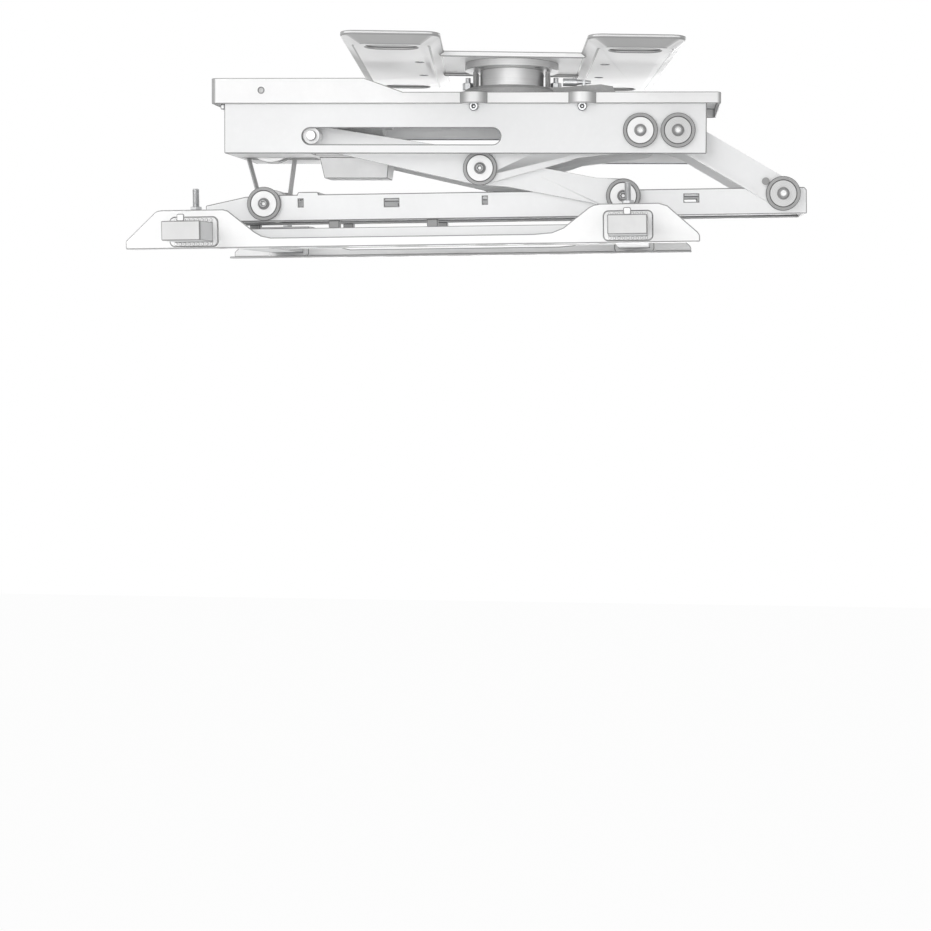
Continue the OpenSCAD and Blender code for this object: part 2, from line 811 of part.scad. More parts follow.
// Fixed pivots: the front link's pins pass through it, the rear link's end at its face
module fixed_pivot_pins() {
    face = wall_out + 0.2;
    tip = face + collar_t - washer_sink;
    color("silver") difference() {
        union() {
            bar_pair(pivot_a, pin_d / 2, front_in - 2.5, tip);
            bar_pair(pivot_a, pin_d / 2 + 3, front_in - 2.5, front_in - 0.2);
            bar_pair(pivot_a, pin_d / 2 + 4, front_out + 0.2, wall_in - 0.1);
            bar_pair(pivot_r, pin_d / 2, arm_out + 0.8, tip);
            bar_pair(pivot_r, pin_d / 2 + 4, front_in + 1, wall_in - 0.1);
        }
        for (p = [pivot_a, pivot_r])
            bar_pair(p, pivot_head_d / 4 + pin_fit, tip - 10, tip + eps);
    }
}

module fixed_pivot_collars() {
    color("dimgray") for (p = [pivot_a, pivot_r]) collars(p, wall_out + 0.2);
}

module fixed_pivot_washers() {
    color("whitesmoke") for (p = [pivot_a, pivot_r]) washers(p, wall_out + 0.2);
}

module fixed_pivot_screws() {
    color("gray") for (p = [pivot_a, pivot_r]) pivot_screws(p, wall_out + 0.2);
}

// Slider arm: tapers from the slot pin to the front link, waisted to the boom
module slider_arm_outline() {
    along = (pivot_c - pivot_b) / norm(pivot_c - pivot_b);
    across = [-along[1], along[0]];
    waist = eye_r * 0.76;
    difference() {
        union() {
            tapered_link(pivot_s, slot_pin_d / 2 + 7.4, pivot_b, eye_r);
            translate(pivot_c) circle(r = eye_r + 1);
            polygon([
                pivot_b + eye_r * across, pivot_b + waist * across + 34 * along,
                pivot_c + waist * across - 34 * along, pivot_c + (eye_r + 0.8) * across,
                pivot_c - (eye_r + 0.8) * across, pivot_c - waist * across - 34 * along,
                pivot_b - waist * across + 34 * along, pivot_b - eye_r * across
            ]);
        }
        for (p = [pivot_b, pivot_c])
            translate(p) circle(r = pin_d / 2 + pin_fit);
        translate(pivot_s) circle(r = slot_pin_d / 2 + pin_fit);
    }
}

module slider_arm_near() {
    color("gainsboro") sheet_y(-arm_out, link_t) slider_arm_outline();
}

module slider_arm_far() {
    color("gainsboro") sheet_y(arm_in, link_t) slider_arm_outline();
}

module slot_pin() {
    color("silver") bar_y(pivot_s, slot_pin_d / 2, -wall_out, wall_out);
}

module slot_spacers() {
    color("dimgray")
        ring_pair(pivot_s, slot_pin_d / 2 + 4.5, slot_pin_d / 2 + pin_fit, arm_out + 0.2, wall_in - 0.4);
}

module arm_collars() {
    color("dimgray") collars(pivot_c, arm_out + 0.2);
}

module arm_washers() {
    color("whitesmoke") washers(pivot_c, arm_out + 0.2);
}

module arm_screws() {
    color("gray") pivot_screws(pivot_c, arm_out + 0.2);
}

// Rear link: a straight bar with its lower edge turned inwards
rear_dir = (pivot_d - pivot_r) / norm(pivot_d - pivot_r);
rear_across = [-rear_dir[1], rear_dir[0]];
lip_out = 3;
module rear_link(side) {
    half = rear_link_w / 2;
    inner = side > 0 ? arm_in : -arm_out;
    color("gainsboro") difference() {
        union() {
            sheet_y(inner, link_t) {
                translate(pivot_r) circle(r = eye_r);
                translate(pivot_d) circle(r = eye_r);
                polygon([
                    pivot_r + half * rear_across, pivot_r - half * rear_across,
                    pivot_d - half * rear_across, pivot_d + half * rear_across
                ]);
            }
            sheet_y(side > 0 ? arm_out - eps : -arm_out - 2, 2 + eps) polygon([
                pivot_r - half * rear_across + 34 * rear_dir,
                pivot_r - (half - lip_out) * rear_across + 34 * rear_dir,
                pivot_d - (half - lip_out) * rear_across - 26 * rear_dir,
                pivot_d - half * rear_across - 26 * rear_dir
            ]);
        }
        for (p = [pivot_r, pivot_d])
            bar_y(p, pin_d / 2 + pin_fit, -wall_out, wall_out);
    }
}

module rear_link_near() {
    rear_link(-1);
}

module rear_link_far() {
    rear_link(1);
}

// The rear link's own half of its fixed pivot, flush with the link's outer face
module rear_link_pins() {
    color("silver") {
        bar_pair(pivot_r, pin_d / 2, arm_in - 0.2 - eps, arm_out + 0.2);
        bar_pair(pivot_r, pin_d / 2 + 3, arm_in - 3, arm_in - 0.2);
    }
}

module rear_link_collars() {
    color("dimgray") collars(pivot_d, arm_out + 0.2);
}

module rear_link_washers() {
    color("whitesmoke") washers(pivot_d, arm_out + 0.2);
}

// Pivot screws at the boom and the small lock screws beside them
module rear_link_screws() {
    lock = pivot_d - 24 * rear_dir + 2 * rear_across;
    color("gray") {
        pivot_screws(pivot_d, arm_out + 0.2);
        bar_pair(lock, 4.2, arm_out, arm_out + 2.4);
    }
}

// Side outline of the boom channel in its own axes
module boom_outline() {
    left = -boom_front - boom_nose;
    right = boom_rear + boom_tail;
    polygon([
        [left, boom_under], [left, boom_top - 11], [-boom_front - 22, boom_top - 1.5],
        [-boom_front + 20, boom_top], [-boom_front + 38, boom_top], [-boom_front + 39, boom_top + 3],
        [-boom_front + 62, boom_top + 3], [-boom_front + 63, boom_top], [right - 3, boom_top],
        [right, boom_top - 3], [right, boom_under]
    ]);
}

module boom_window(u, v, w, h) {
    translate([u - w / 2, -boom_side - 1, v - h / 2]) cube([w, boom_w + 2, h]);
}

boom_lip = 14;
wide_window_w = 16;
slim_window_w = 5;
wide_window_us = [-0.643 * boom_front, 0.428 * boom_rear];
slim_window_us = [-0.898 * boom_front, -0.383 * boom_front];
module boom() {
    left = -boom_front - boom_nose;
    right = boom_rear + boom_tail;
    inner = boom_side - boom_t;
    color("gainsboro") in_boom() difference() {
        sheet_y(-boom_side, boom_w) boom_outline();
        difference() {
            sheet_y(-inner, 2 * inner) polygon([
                [left - 1, boom_under + boom_t], [left - 1, boom_top - 11 - boom_t],
                [-boom_front - 22, boom_top - 1.5 - boom_t], [-boom_front + 20, boom_top - boom_t],
                [right - boom_t, boom_top - boom_t], [right - boom_t, boom_under + boom_t]
            ]);
        }
        translate([left - 1, boom_lip - boom_side, boom_under - 1])
            cube([right - left - boom_t + 1, boom_w - 2 * boom_lip, boom_t + 2]);
        for (u = [0, boom_rear])
            bar_y([u, 0], pin_d / 2 + pin_fit, -boom_w, boom_w);
        bar_y([-boom_front, -pulley_drop], pin_d / 2 + pin_fit, -boom_w, boom_w);
        translate([-boom_front - 26, -inner, boom_top - 8]) cube([52, 2 * inner, 16]);
        for (u = wide_window_us)
            boom_window(u, -3.2, wide_window_w, 8.4);
        for (u = slim_window_us)
            boom_window(u, -2, slim_window_w, 8.5);
    }
}

module arm_axle() {
    color("silver") axle(pivot_c, arm_out + 0.2);
}

module rear_axle() {
    color("silver") axle(pivot_d, arm_out + 0.2);
}

spacer_us = [for (s = [0, 0.25, 0.5, 1]) rail_us[0] + s * rail_pitch];
module rail_spacers() {
    color("dimgray") in_boom() for (u = spacer_us)
        for (s = [-1, 1])
            translate([u - 6, s * (boom_side - 8.5) - 5.5, rail_top]) cube([12, 11, spacer_h]);
}

module frame_spars() {
    x0 = rail_us[0] + rail_w / 2;
    color("gainsboro") in_boom() for (s = [-1, 1])
        translate([x0, s * (boom_side - 5) - 10, rail_under]) difference() {
            cube([rail_pitch - rail_w, 20, rail_h]);
            translate([-1, rail_t, rail_t]) cube([rail_pitch, 20 - 2 * rail_t, rail_h - 2 * rail_t]);
        }
}

module cross_rails() {
    color("silver") in_boom() for (u = rail_us)
        translate([u - rail_w / 2, -rail_len / 2, rail_under]) difference() {
            cube([rail_w, rail_len, rail_h]);
            translate([rail_t, -1, rail_t]) cube([rail_w - 2 * rail_t, rail_len + 2, rail_h - 2 * rail_t]);
        }
}

module rail_end_caps() {
    color("darkgray") in_boom() for (u = rail_us)
        for (s = [0, 1])
            mirror([0, s, 0]) {
                translate([u - rail_w / 2, rail_len / 2, rail_under]) cube([rail_w, 2.5, rail_h]);
                translate([u - rail_w / 2 + rail_t, rail_len / 2 - 10, rail_under + rail_t])
                    cube([rail_w - 2 * rail_t, 10, rail_h - 2 * rail_t]);
            }
}

// Side outline of a television bracket, its face along v = 0 and its left end at u = 0
module bracket_outline() {
    polygon([
        [0, 0], [0, 8.7], [28.6, hump_h - 5], [31, hump_h - 2.6], [34, hump_h - 0.8], [38, hump_h],
        [104, hump_h], [109, hump_h - 1.4], [137, bracket_waist + 6.4], [144, bracket_waist + 2.2],
        [154, bracket_waist], [430, bracket_waist], [448, bracket_waist + 1.4],
        [460, bracket_waist + 6], [487, hump_h - 3.4], [492, hump_h - 1], [500, hump_h],
        [bracket_len - 42, hump_h], [bracket_len - 33, hump_h - 3], [bracket_len - 27.5, hump_h - 8],
        [bracket_len - 2.5, 10.3], [bracket_len, 6.8], [bracket_len, 0]
    ]);
}

module rounded_rect(w, h, r) {
    translate([-w / 2 + r, -h / 2]) square([w - 2 * r, h]);
    translate([-w / 2, r - h / 2]) square([w, h - 2 * r]);
    for (x = [r - w / 2, w / 2 - r])
        for (y = [r - h / 2, h / 2 - r])
            translate([x, y]) circle(r = r);
}

window_w = 50;
window_h = 30;
rail_mid = rail_lift + rail_h / 2;
tv_hole_us = [frame_mid - tv_pitch / 2 - bracket_left, frame_mid + tv_pitch / 2 - bracket_left];
slot_us = [166, 216, 300, 384, 434];
module tv_bracket() {
    us = [bracket_over, bracket_over + rail_pitch];
    in_boom() translate([bracket_left, 0, tv_face]) difference() {
        union() {
            sheet_y(-bracket_y, bracket_t) difference() {
                bracket_outline();
                for (u = us)
                    translate([u, rail_mid + 0.5]) rounded_rect(window_w, window_h, 5);
            }
            translate([0, -bracket_y, 0]) cube([bracket_len, flange_w, bracket_t]);
            for (u = us)
                translate([u - 31, -bracket_y, hump_h - bracket_t]) cube([62, 22, bracket_t]);
        }
        for (u = tv_hole_us)
            translate([u, -tv_pitch / 2, -1]) cylinder(d = tv_hole_d, h = bracket_t + 2);
        for (u = slot_us)
            translate([u, -tv_pitch / 2, -1]) {
                translate([-12, -tv_hole_d / 2, 0]) cube([24, tv_hole_d, bracket_t + 2]);
                for (x = [-12, 12])
                    translate([x, 0, 0]) cylinder(d = tv_hole_d, h = bracket_t + 2);
            }
        for (u = us)
            translate([u, clamp_wall + 4.5 - bracket_y, hump_h - 4]) cylinder(d = 7.6, h = 8);
    }
}

// Frames that seat the bracket on the two rails, one in each window
module clamps() {
    us = [bracket_over, bracket_over + rail_pitch];
    color("dimgray") in_boom() translate([bracket_left, 0, tv_face]) for (u = us)
        difference() {
            sheet_y(-bracket_y - 1.5, 12) difference() {
                translate([u, rail_mid + 0.5]) rounded_rect(window_w - 0.4, window_h - 0.4, 5);
                translate([u - rail_w / 2 - 0.2, rail_lift - 0.2]) square([rail_w + 0.4, rail_h + 0.4]);
            }
            translate([u, clamp_wall + 4.5 - bracket_y, rail_lift + rail_h]) cylinder(d = 7.4, h = 12);
        }
}

module clamp_studs() {
    us = [bracket_over, bracket_over + rail_pitch];
    z0 = rail_lift + rail_h + 0.1;
    color("silver") in_boom() translate([bracket_left, clamp_wall + 4.5 - bracket_y, tv_face]) for (u = us)
        translate([u, 0, z0]) difference() {
            union() {
                cylinder(d = 7.2, h = hump_h + 22.5 - z0);
                translate([0, 0, hump_h - z0]) cylinder(d = 13, h = 3.5, $fn = 6);
            }
            translate([0, 0, hump_h + 22.5 - z0 - 5]) cylinder(d = 4.4, h = 6, $fn = 6);
        }
}

module tv_bracket_near() {
    color("whitesmoke") tv_bracket();
}

module near_clamps() {
    clamps();
}

module near_clamp_studs() {
    clamp_studs();
}

module tv_bracket_far() {
    color("whitesmoke") mirror([0, 1, 0]) tv_bracket();
}

module far_clamps() {
    mirror([0, 1, 0]) clamps();
}

module far_clamp_studs() {
    mirror([0, 1, 0]) clamp_studs();
}

ceiling_plate();
swivel_spindle();
ring_bolts();
hub_base();
hub_bolts();
swivel_lock_screw();
spindle_clip();
top_cover();
cover_screws();
chassis_channel();
bottom_plate();
control_box();
winch_motor();
winch_gearbox();
drum_bearings();
strap_anchor_pin();
fixed_pivot_pins();
fixed_pivot_collars();
fixed_pivot_washers();
fixed_pivot_screws();
winch_drum();
wound_strap();
front_link_near();
front_link_far();
front_link_pins();
front_link_collars();
front_link_washers();
front_link_screws();
slider_arm_near();
slider_arm_far();
slot_pin();
slot_spacers();
arm_collars();
arm_washers();
arm_screws();
rear_link_near();
rear_link_far();
rear_link_pins();
rear_link_collars();
rear_link_washers();
rear_link_screws();
boom();
arm_axle();
rear_axle();
pulley_axle();
pulley_bushes();
pulley_washers();
rail_spacers();
frame_spars();
cross_rails();
rail_end_caps();
strap_pulley();
strap_strands();
strap_bight();
tv_bracket_near();
near_clamps();
near_clamp_studs();
tv_bracket_far();
far_clamps();
far_clamp_studs();
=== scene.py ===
"""Looks of a motorised flip-down television mount, folded up under its ceiling plate.

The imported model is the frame: every sheet, link and fastener keeps the place that it has there.
The sections follow the mount as it is put together, from the ceiling down to the television brackets.
"""

import json
import math

import bmesh
import bpy
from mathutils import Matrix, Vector


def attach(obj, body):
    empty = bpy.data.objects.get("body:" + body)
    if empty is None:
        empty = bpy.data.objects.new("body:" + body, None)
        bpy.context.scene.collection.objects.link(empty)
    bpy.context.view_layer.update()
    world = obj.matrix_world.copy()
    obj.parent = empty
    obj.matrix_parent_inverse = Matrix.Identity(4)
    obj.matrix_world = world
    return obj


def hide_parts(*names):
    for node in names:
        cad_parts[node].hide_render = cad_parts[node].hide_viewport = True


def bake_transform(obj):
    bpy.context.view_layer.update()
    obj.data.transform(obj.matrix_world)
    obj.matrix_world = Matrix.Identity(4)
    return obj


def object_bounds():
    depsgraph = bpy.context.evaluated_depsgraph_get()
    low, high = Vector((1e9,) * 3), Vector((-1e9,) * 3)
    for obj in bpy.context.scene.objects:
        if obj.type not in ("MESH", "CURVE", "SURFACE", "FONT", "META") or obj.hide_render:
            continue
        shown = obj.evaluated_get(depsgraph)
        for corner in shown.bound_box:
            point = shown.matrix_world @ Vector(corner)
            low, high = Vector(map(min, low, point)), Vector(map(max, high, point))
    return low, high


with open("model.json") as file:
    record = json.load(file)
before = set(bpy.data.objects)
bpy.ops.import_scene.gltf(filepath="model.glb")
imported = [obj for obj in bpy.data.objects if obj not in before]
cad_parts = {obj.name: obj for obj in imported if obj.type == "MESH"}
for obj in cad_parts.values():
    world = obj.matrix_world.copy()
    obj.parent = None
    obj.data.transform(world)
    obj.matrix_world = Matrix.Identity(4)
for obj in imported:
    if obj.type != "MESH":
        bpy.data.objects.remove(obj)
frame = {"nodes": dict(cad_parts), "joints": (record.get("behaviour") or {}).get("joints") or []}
cad_low, cad_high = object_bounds()
scene = bpy.context.scene
scene.view_settings.view_transform = "Standard"

# Camera
# A long lens in front of the mount, a little under it, aimed slightly left and down.
# The picture is shifted, so that the mount stands in its upper half.
lens_in_pixels, picture_width = 1555.7, 931
tilt, roll, turn = 88.167, -0.309, 2.948
camera = bpy.data.objects.new("camera", bpy.data.cameras.new("camera"))
camera.data.sensor_width = 36
camera.data.lens = camera.data.sensor_width * lens_in_pixels / picture_width
camera.data.shift_x = -0.12
camera.data.shift_y = -0.13
camera.location = (0.1713, -1.8198, -0.2742)
camera.rotation_euler = [math.radians(angle) for angle in (tilt, roll, turn)]
scene.collection.objects.link(camera)
scene.camera = camera


class Wire:
    """A node's output: arithmetic on it adds Math nodes, and node() adds any other node."""

    def __init__(self, tree, socket=None):
        self.tree = tree
        self.socket = socket

    def node(self, kind, settings=None, sockets=None, out=0):
        """A new node: its settings are made first, then its sockets get their values or links."""
        made = self.tree.nodes.new("ShaderNode" + kind)
        for name, value in (settings or {}).items():
            setattr(made, name, value)
        for key, value in (sockets or {}).items():
            if isinstance(value, Wire):
                self.tree.links.new(value.socket, made.inputs[key])
            else:
                made.inputs[key].default_value = value
        return Wire(self.tree, made.outputs[out] if made.outputs else None)

    def math(self, operation, *values):
        return self.node("Math", {"operation": operation}, dict(enumerate(values)))

    def __add__(self, other):
        return self.math("ADD", self, other)

    def __radd__(self, other):
        return self.math("ADD", other, self)

    def __sub__(self, other):
        return self.math("SUBTRACT", self, other)

    def __rsub__(self, other):
        return self.math("SUBTRACT", other, self)

    def __mul__(self, other):
        return self.math("MULTIPLY", self, other)

    def __rmul__(self, other):
        return self.math("MULTIPLY", other, self)

    def size(self):
        """The value without its sign."""
        return self.math("ABSOLUTE", self)

    def largest(self, other):
        return self.math("MAXIMUM", self, other)

    def smallest(self, other):
        return self.math("MINIMUM", self, other)

    def parts(self):
        """The x, y and z of a vector."""
        return [self.node("SeparateXYZ", sockets={0: self}, out=axis) for axis in range(3)]

    def step(self, low, high):
        """0 under low, 1 over high, with a soft slope between."""
        sockets = {"Value": self, "From Min": low, "From Max": high}
        return self.node("MapRange", {"interpolation_type": "SMOOTHSTEP"}, sockets)

    def blend(self, under, over):
        """The colour under where this is 0, and over where it is 1."""
        factor, first_colour, second_colour, mixed_colour = 0, 6, 7, 2
        sockets = {factor: self, first_colour: under, second_colour: over}
        return self.node("Mix", {"data_type": "RGBA"}, sockets, out=mixed_colour)


def tone(value, warm=0.0):
    """A grey of that brightness, warm for a yellow cast and below 0 for a blue one."""
    return (value * (1 + warm), value, value * (1 - warm), 1)


# Room
# A pale floor a room's height under the mount, and white all round that the camera and gloss see.
# The key lamp stands high at the left front, and weaker ones light the mount from the other sides.
# The front lamp is a long strip at the camera's height, which shines into the channel's slots.
room = bpy.data.worlds.new("room")
room.use_nodes = True
scene.world = room
room.node_tree.nodes.clear()
sky = Wire(room.node_tree)
to_camera = sky.node("LightPath", out="Is Camera Ray")
to_gloss = sky.node("LightPath", out="Is Glossy Ray")
to_glass = sky.node("LightPath", out="Is Transmission Ray")
white = to_camera + to_gloss + to_glass
soft_light = sky.node("Background", sockets={"Color": tone(1.0), "Strength": 0.62})
plain_white = sky.node("Background", sockets={"Color": tone(1.0), "Strength": 1.0})
mixed = sky.node("MixShader", sockets={0: white.smallest(1.0), 1: soft_light, 2: plain_white})
sky.node("OutputWorld", sockets={"Surface": mixed})


def new_piece(name, points, faces):
    """A mesh object from points in metres and faces by point number."""
    mesh = bpy.data.meshes.new(name)
    mesh.from_pydata([tuple(p) for p in points], [], faces)
    piece = bpy.data.objects.new(name, mesh)
    scene.collection.objects.link(piece)
    return piece


def new_finish(name):
    """An empty material, and a Wire to build its nodes on."""
    material = bpy.data.materials.new(name)
    material.use_nodes = True
    material.node_tree.nodes.clear()
    return material, Wire(material.node_tree)


mount_to_floor, floor_half = 2.2, 9.0
floor_z = cad_low.z - mount_to_floor
floor_corners = [(x * floor_half, y * floor_half, floor_z) for x, y in ((-1, -1), (1, -1), (1, 1), (-1, 1))]
floor = new_piece("floor", floor_corners, [(0, 1, 2, 3)])
floor_paint, ground = new_finish("floor_paint")
matt = ground.node("BsdfDiffuse", sockets={"Color": tone(0.9)})
glow = ground.node("Emission", sockets={"Color": tone(1.0), "Strength": 1.0})
glow_share = ground.node("LightPath", out="Is Camera Ray") * 0.95
seen_floor = ground.node("MixShader", sockets={0: glow_share, 1: matt, 2: glow})
ground.node("OutputMaterial", sockets={"Surface": seen_floor})
floor.data.materials.append(floor_paint)


def lamp(name, place, aim, width, height, power):
    """A soft rectangular lamp that the camera doesn't see."""
    light = bpy.data.lights.new(name, "AREA")
    light.shape = "RECTANGLE"
    light.size = width
    light.size_y = height
    light.energy = power
    stand = bpy.data.objects.new(name, light)
    stand.location = place
    stand.rotation_euler = (Vector(aim) - Vector(place)).to_track_quat("-Z", "Y").to_euler()
    stand.visible_camera = False
    scene.collection.objects.link(stand)


lamp("key_lamp", (-1.9, -2.0, 1.1), (-0.2, 0, -0.1), 2.2, 1.8, 32)
lamp("fill_lamp", (2.6, -1.2, 0.9), (0, 0, -0.12), 1.6, 1.6, 1.5)
lamp("front_lamp", (0, -1.85, -0.29), (0, 0, -0.1), 2.4, 0.26, 9)
lamp("floor_lamp", (0, -0.3, -1.7), (0, 0, -0.1), 2.4, 2.4, 12)
lamp("back_lamp", (0.4, 2.4, -0.35), (0, 0, -0.1), 2.4, 1.2, 20)


# Ceiling plate
# Two pressed wings joined by a flat web, cut and formed from 3 mm steel sheet.
# It is powder coated white, and screwed to the ceiling through the floors of its wings.
def close_finish(wires, sockets):
    """Ends a material in a Principled shader with these sockets."""
    shader = wires.node("BsdfPrincipled", sockets=sockets)
    wires.node("OutputMaterial", sockets={"Surface": shader})


def bumped(wires, height, depth, strength):
    """A normal from a height between 0 and 1 that stands for a depth in metres."""
    return wires.node("Bump", sockets={"Height": height, "Distance": depth, "Strength": strength})


def powder_coat(name, shade, warm=0.0, gloss=0.42, painted_shading=None, painted_shading_tone=0.36):
    """Sprayed and baked powder: a fine orange peel, a faint cloud in its tone and a few dull patches.

    The mask function takes the place and the facing, each as its x, y and z, and says where shade or light
    is painted into the coat; the last argument is the tone painted there.
    """
    material, wires = new_finish(name)
    place = wires.node("TexCoord", out="Object")
    peel = wires.node("TexNoise", sockets={"Vector": place, "Scale": 520, "Detail": 2, "Roughness": 0.45})
    cloud = wires.node("TexNoise", sockets={"Vector": place, "Scale": 9, "Detail": 3, "Roughness": 0.6})
    dust = wires.node("TexNoise", sockets={"Vector": place, "Scale": 140, "Detail": 4, "Roughness": 0.7})
    soft = cloud.step(0.35, 0.7)
    patches = soft * 0.7 + dust.step(0.4, 0.75) * 0.3
    whitest = 0.98
    colour = patches.blend(tone(shade * 0.965, warm), tone(min(shade * 1.02, whitest), warm))
    if painted_shading:
        facing = wires.node("TexCoord", out="Normal")
        amount = painted_shading(place.parts(), facing.parts())
        # Where the mask says, shade or light is painted into the colour.
        colour = (amount * (0.94 + dust * 0.12)).blend(colour, tone(painted_shading_tone, warm))
    close_finish(
        wires,
        {
            "Base Color": colour,
            "Roughness": gloss - 0.05 + soft * 0.07 + peel * 0.05,
            "Specular IOR Level": 0.45,
            "Normal": bumped(wires, peel, 0.00006, 0.5),
        },
    )
    return material


joined_within = 1e-6


def merged_copy(name, node):
    """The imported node's mesh with its split corners joined and its flat triangles merged."""
    flat_within = math.radians(0.6)
    shape = bmesh.new()
    shape.from_mesh(frame["nodes"][node].data)
    bmesh.ops.remove_doubles(shape, verts=shape.verts, dist=joined_within)
    bmesh.ops.dissolve_limit(shape, angle_limit=flat_within, verts=shape.verts, edges=shape.edges)
    mesh = bpy.data.meshes.new(name)
    shape.to_mesh(mesh)
    shape.free()
    piece = bpy.data.objects.new(name, mesh)
    scene.collection.objects.link(piece)
    return piece


def smooth(piece, sharpest=35):
    """Smooth shading up to an angle in degrees, weighted so that flat faces stay flat."""
    piece.data.polygons.foreach_set("use_smooth", [True] * len(piece.data.polygons))
    piece.data.set_sharp_from_angle(angle=math.radians(sharpest))
    weighted = piece.modifiers.new("weighted", "WEIGHTED_NORMAL")
    weighted.keep_sharp = True


def ease_edges(piece, edge, finish, edge_finish=None, clamp=True):
    """Eases a piece's edges by a tool or bend radius in metres, and gives it its finish.

    The eased edges may have a darker finish of their own, painted shade that outlines them.
    With clamp, an edge near another one is eased less, so that the two don't meet.
    """
    piece.data.materials.append(finish)
    if edge_finish:
        piece.data.materials.append(edge_finish)
    left_as_curve = math.radians(28)
    shape = bmesh.new()
    shape.from_mesh(piece.data)
    bmesh.ops.bevel(
        shape,
        geom=[e for e in shape.edges if e.is_manifold and e.calc_face_angle(0) > left_as_curve],
        offset=edge,
        offset_type="OFFSET",
        segments=2,
        profile=0.5,
        affect="EDGES",
        clamp_overlap=clamp,
        material=1 if edge_finish else -1,
    )
    shape.to_mesh(piece.data)
    shape.free()
    smooth(piece)


def eased(name, node, body, edge, finish, edge_finish=None, clamp=True):
    """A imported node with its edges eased, which stands for it."""
    piece = merged_copy(name, node)
    ease_edges(piece, edge, finish, edge_finish, clamp=clamp)
    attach(piece, body)
    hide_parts(node)
    return piece


def dish_painted_shade(place, facing):
    """Painted shade on the sloped walls of a wing's dish, most at its ends and by the web, and a little on
    its floor.
    """
    end_lean = facing[1].size()
    side_lean = facing[0].size()
    outward = place[1].size()
    end_walls = end_lean.step(0.2, 0.5) * (1 - end_lean.step(0.75, 0.9))
    walls_by_web = side_lean.step(0.12, 0.4) * (1 - outward.step(0.06, 0.2)) * 0.8
    dish_floor = outward.step(0.04, 0.19) * 0.3
    return end_walls.largest(walls_by_web).largest(dish_floor)


# The plate's white is painted darker on the dishes' sloped walls and outer floor: painted shade.
plate_coat = powder_coat("plate_coat", 0.88, painted_shading=dish_painted_shade)
# A dark grey copy of the white coat, painted on eased edges as painted shade.
white_edge = powder_coat("white_edge", 0.3, gloss=0.36)
ceiling_plate = eased(
    "plate_pressing", "ceiling_plate", "ceiling_bracket", 0.0012, plate_coat, white_edge, clamp=False
)


def extruded(name, outline, places, across, up, thickness, body, finish, edge=0.0004, edge_finish=None):
    """Flat blanks of one outline in metres, one at each place, with their edges eased.

    Across and up are the directions of the outline's two axes, and the thickness goes to across x up.
    """
    across, up = Vector(across).normalized(), Vector(up).normalized()
    through = across.cross(up) * thickness
    points, faces, count = [], [], len(outline)
    for place in places:
        first = len(points)
        front = [Vector(place) + across * u + up * v for u, v in outline]
        points += front + [point + through for point in front]
        faces.append([first + i for i in reversed(range(count))])
        faces.append([first + count + i for i in range(count)])
        for i in range(count):
            j = (i + 1) % count
            faces.append([first + i, first + j, first + count + j, first + count + i])
    piece = new_piece(name, points, faces)
    ease_edges(piece, edge, finish, edge_finish)
    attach(piece, body)
    return piece


def rounded_outline(width, height, radius, steps=6):
    """A rectangle about 0, 0 with round corners, as a list of points."""
    points = []
    for quarter, (sx, sy) in enumerate(((1, 1), (-1, 1), (-1, -1), (1, -1))):
        corner_x, corner_y = sx * (width / 2 - radius), sy * (height / 2 - radius)
        for step in range(steps + 1):
            angle = math.radians(90 * (quarter + step / steps))
            points.append((corner_x + radius * math.cos(angle), corner_y + radius * math.sin(angle)))
    return points


# Steel blanks close the large openings of the wings from above, inside their dishes.
# They lie square to the wings, which are turned a little on the swivel.
# The blanks' mid grey is painted shade, which stands for the shade in the wings' oval openings.
blank_coat = powder_coat("blank_coat", 0.5)
plate_turn = math.radians(6)
along_x = Vector((math.cos(plate_turn), math.sin(plate_turn), 0))
along_y = Vector((-math.sin(plate_turn), math.cos(plate_turn), 0))
blank_x, blank_y = 0.130, 0.157
dish_floor_top = Vector((0, 0, -0.0095))
blank_places = []
for sx in (-1, 1):
    for sy in (-1, 1):
        blank_places.append(along_x * (sx * blank_x) + along_y * (sy * blank_y) + dish_floor_top)
blank_long, blank_wide, blank_end, blank_thick = 0.064, 0.0366, 0.0182, 0.0012
oval = rounded_outline(blank_long, blank_wide, blank_end, steps=10)
blanks = extruded(
    "oval_blanks", oval, blank_places, along_x, along_y, blank_thick, "ceiling_bracket", blank_coat
)


# Swivel spindle, its bolts and its clip
# A turned hollow spindle with a wide flange, bolted up under the plate's web.
# The cables run through its bore, and a spring clip under the chassis roof holds it.
def turned_steel(name, shade, groove, axis="Z", gloss=0.3):
    """Steel from a lathe: fine rings round the axis, drawn as thin bands along it."""
    material, wires = new_finish(name)
    place = wires.node("TexCoord", out="Object")
    round_ring = 9
    stretched = [groove if way == axis else round_ring for way in "XYZ"]
    lines = wires.node("VectorMath", {"operation": "MULTIPLY"}, {0: place, 1: stretched})
    rings = wires.node("TexNoise", sockets={"Vector": lines, "Scale": 1, "Detail": 5, "Roughness": 0.65})
    stain = wires.node("TexNoise", sockets={"Vector": place, "Scale": 40, "Detail": 3, "Roughness": 0.6})
    worn = rings.step(0.35, 0.68)
    tarnish = worn * 0.6 + stain.step(0.4, 0.7) * 0.4
    brightest = 0.97
    close_finish(
        wires,
        {
            "Base Color": tarnish.blend(tone(shade * 0.9), tone(min(shade * 1.05, brightest))),
            "Metallic": 0.95,
            "Roughness": gloss + rings * 0.12 + stain * 0.05,
            "Normal": bumped(wires, rings, 0.00005, 0.35),
        },
    )
    return material


spindle_steel = turned_steel("spindle_steel", 0.82, 1700, gloss=0.42)
# A darker copy of the spindle's steel, painted on its eased edges as painted shade.
spindle_edge = turned_steel("spindle_edge", 0.5, 900)
spindle = eased("spindle_turning", "swivel_spindle", "ceiling_bracket", 0.0006, spindle_steel, spindle_edge)


